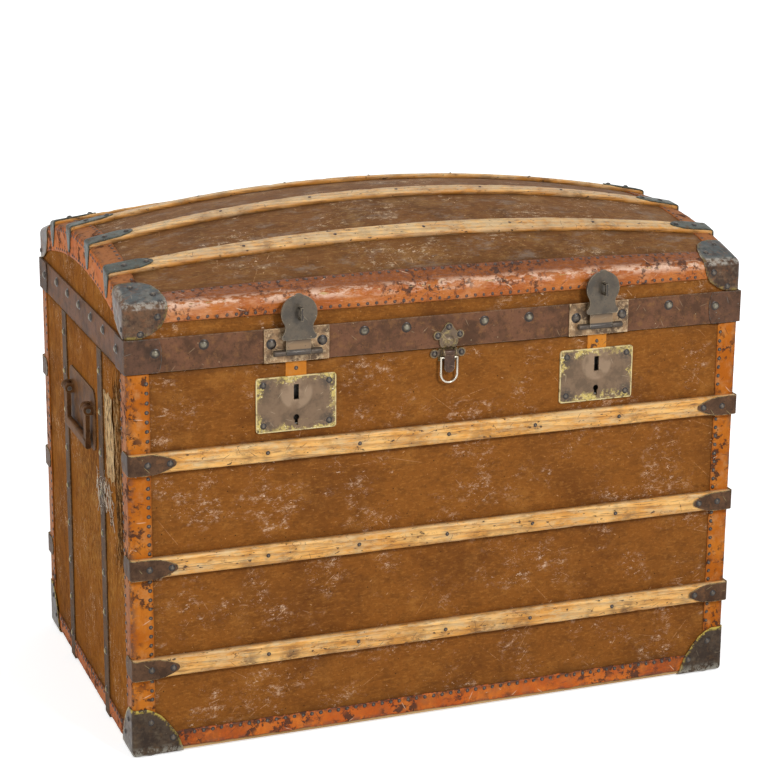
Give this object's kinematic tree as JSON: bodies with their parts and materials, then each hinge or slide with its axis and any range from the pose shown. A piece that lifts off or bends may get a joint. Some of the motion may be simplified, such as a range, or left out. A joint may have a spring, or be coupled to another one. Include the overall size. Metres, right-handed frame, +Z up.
{
  "type": "dome top trunk",
  "caption": "Dome top travelling trunk of canvas covered boards with wooden slats, fibre binding and iron corners, a hinged lid with folding stays, swinging hasps, a draw latch and drop handles",
  "frame": {"origin": "on the floor, under the middle of the overall box, lid closed and hasps raised", "axes": "+X along the trunk to the viewer's right, +Y from the front to the hinged back, +Z up"},
  "size_m": [0.891, 0.5414, 0.6958],
  "materials": {
    "canvas": "ochre brown painted canvas, worn",
    "fibre": "orange brown vulcanised fibre, scuffed",
    "slat_wood": "blond hardwood, old varnish",
    "board_wood": "plain softwood board",
    "lining": "cream cotton lining",
    "band_iron": "brown painted sheet iron",
    "cap_iron": "dark lacquered sheet iron, worn at the rims",
    "hasp_iron": "grey tarnished iron",
    "plate_brass": "tarnished brass plate",
    "rivet_brass": "tarnished brass heads",
    "steel": "plain dull steel",
    "wire": "bright plated wire"
  },
  "bodies": {
    "base": {"bottom_board": "board_wood", "front_board": "board_wood", "back_board": "board_wood", "end_boards": "board_wood", "body_canvas": "canvas", "body_lining": "lining", "body_rim": "board_wood", "corner_fibre": "fibre", "bottom_fibre": "fibre", "front_slats": "slat_wood", "back_slats": "slat_wood", "slat_clamps": "cap_iron", "bottom_caps": "cap_iron", "glides": "steel", "side_straps": "band_iron", "body_rivets": "rivet_brass", "body_nails": "rivet_brass", "lock_plates": "plate_brass", "lock_cases": "steel", "lock_tabs": "fibre", "handle_plates": "cap_iron", "handle_pins": "steel", "latch_base": "plate_brass", "latch_pin": "steel", "hinge_body_leaves": "cap_iron", "stay_body_studs": "steel", "hinge_pins": "steel"},
    "lid": {"lid_front_board": "board_wood", "lid_back_board": "board_wood", "lid_end_boards": "board_wood", "dome_board": "board_wood", "lid_canvas": "canvas", "lid_lining": "lining", "lid_edge_fibre": "fibre", "lid_end_fibre": "fibre", "lid_slats": "slat_wood", "lid_slat_clamps": "cap_iron", "lid_caps": "cap_iron", "lid_band": "band_iron", "band_corners": "band_iron", "band_rivets": "rivet_brass", "lid_rivets": "rivet_brass", "lid_nails": "rivet_brass", "hasp_plates": "hasp_iron", "hasp_pins": "steel", "hinge_lid_leaves": "cap_iron", "stay_lid_studs": "steel", "latch_catch": "plate_brass"},
    "left_bolt": {"left_bolt": "steel"},
    "right_bolt": {"right_bolt": "steel"},
    "left_handle": {"left_handle": "cap_iron"},
    "right_handle": {"right_handle": "cap_iron"},
    "latch_lever": {"latch_lever": "plate_brass"},
    "latch_bail": {"latch_bail": "wire"},
    "left_hasp": {"left_hasp": "hasp_iron"},
    "right_hasp": {"right_hasp": "hasp_iron"},
    "left_stay_lower": {"left_stay_lower": "steel"},
    "left_stay_upper": {"left_stay_upper": "steel"},
    "right_stay_lower": {"right_stay_lower": "steel"},
    "right_stay_upper": {"right_stay_upper": "steel"}
  },
  "joints": [
    {"name": "lid_hinge", "type": "hinge", "parent": "base", "child": "lid", "pos_m": [0, 0.26455, 0.5195], "axis": [-1, 0, 0], "range_deg": [0, 100]},
    {"name": "left_hasp_hinge", "type": "hinge", "parent": "lid", "child": "left_hasp", "pos_m": [-0.209, -0.25275, 0.5328], "axis": [1, 0, 0], "range_deg": [0, 180]},
    {"name": "left_bolt_slide", "type": "slide", "parent": "base", "child": "left_bolt", "axis": [-1, 0, 0], "range_m": [0, 0.008]},
    {"name": "left_handle_hinge", "type": "hinge", "parent": "base", "child": "left_handle", "pos_m": [-0.439, 0.00655, 0.423], "axis": [0, 1, 0], "range_deg": [0, 170]},
    {"name": "left_stay_lid_pivot", "type": "hinge", "parent": "lid", "child": "left_stay_upper", "pos_m": [-0.408, 0.09827, 0.55485], "axis": [1, 0, 0], "range_deg": [0, 100]},
    {"name": "left_stay_elbow", "type": "hinge", "parent": "left_stay_upper", "child": "left_stay_lower", "pos_m": [-0.409, -0.07008, 0.53119], "axis": [-1, 0, 0], "range_deg": [0, 100]},
    {"name": "right_hasp_hinge", "type": "hinge", "parent": "lid", "child": "right_hasp", "pos_m": [0.217, -0.25275, 0.5328], "axis": [1, 0, 0], "range_deg": [0, 180]},
    {"name": "right_bolt_slide", "type": "slide", "parent": "base", "child": "right_bolt", "axis": [-1, 0, 0], "range_m": [0, 0.008]},
    {"name": "right_handle_hinge", "type": "hinge", "parent": "base", "child": "right_handle", "pos_m": [0.439, 0.00655, 0.423], "axis": [0, -1, 0], "range_deg": [0, 170]},
    {"name": "right_stay_lid_pivot", "type": "hinge", "parent": "lid", "child": "right_stay_upper", "pos_m": [0.408, 0.09827, 0.55485], "axis": [1, 0, 0], "range_deg": [0, 100]},
    {"name": "right_stay_elbow", "type": "hinge", "parent": "right_stay_upper", "child": "right_stay_lower", "pos_m": [0.409, -0.07008, 0.53119], "axis": [-1, 0, 0], "range_deg": [0, 100]},
    {"name": "latch_lever_hinge", "type": "hinge", "parent": "base", "child": "latch_lever", "pos_m": [0, -0.25045, 0.514], "axis": [1, 0, 0], "range_deg": [-150, 0]},
    {"name": "latch_bail_hinge", "type": "hinge", "parent": "latch_lever", "child": "latch_bail", "pos_m": [0, -0.25045, 0.507], "axis": [-1, 0, 0], "range_deg": [0, 180]}
  ],
  "couplings": [
    {"joint": "left_stay_lid_pivot", "follows": "lid_hinge", "ratio": 1},
    {"joint": "left_stay_elbow", "follows": "lid_hinge", "ratio": 1},
    {"joint": "right_stay_lid_pivot", "follows": "lid_hinge", "ratio": 1},
    {"joint": "right_stay_elbow", "follows": "lid_hinge", "ratio": 1}
  ]
}
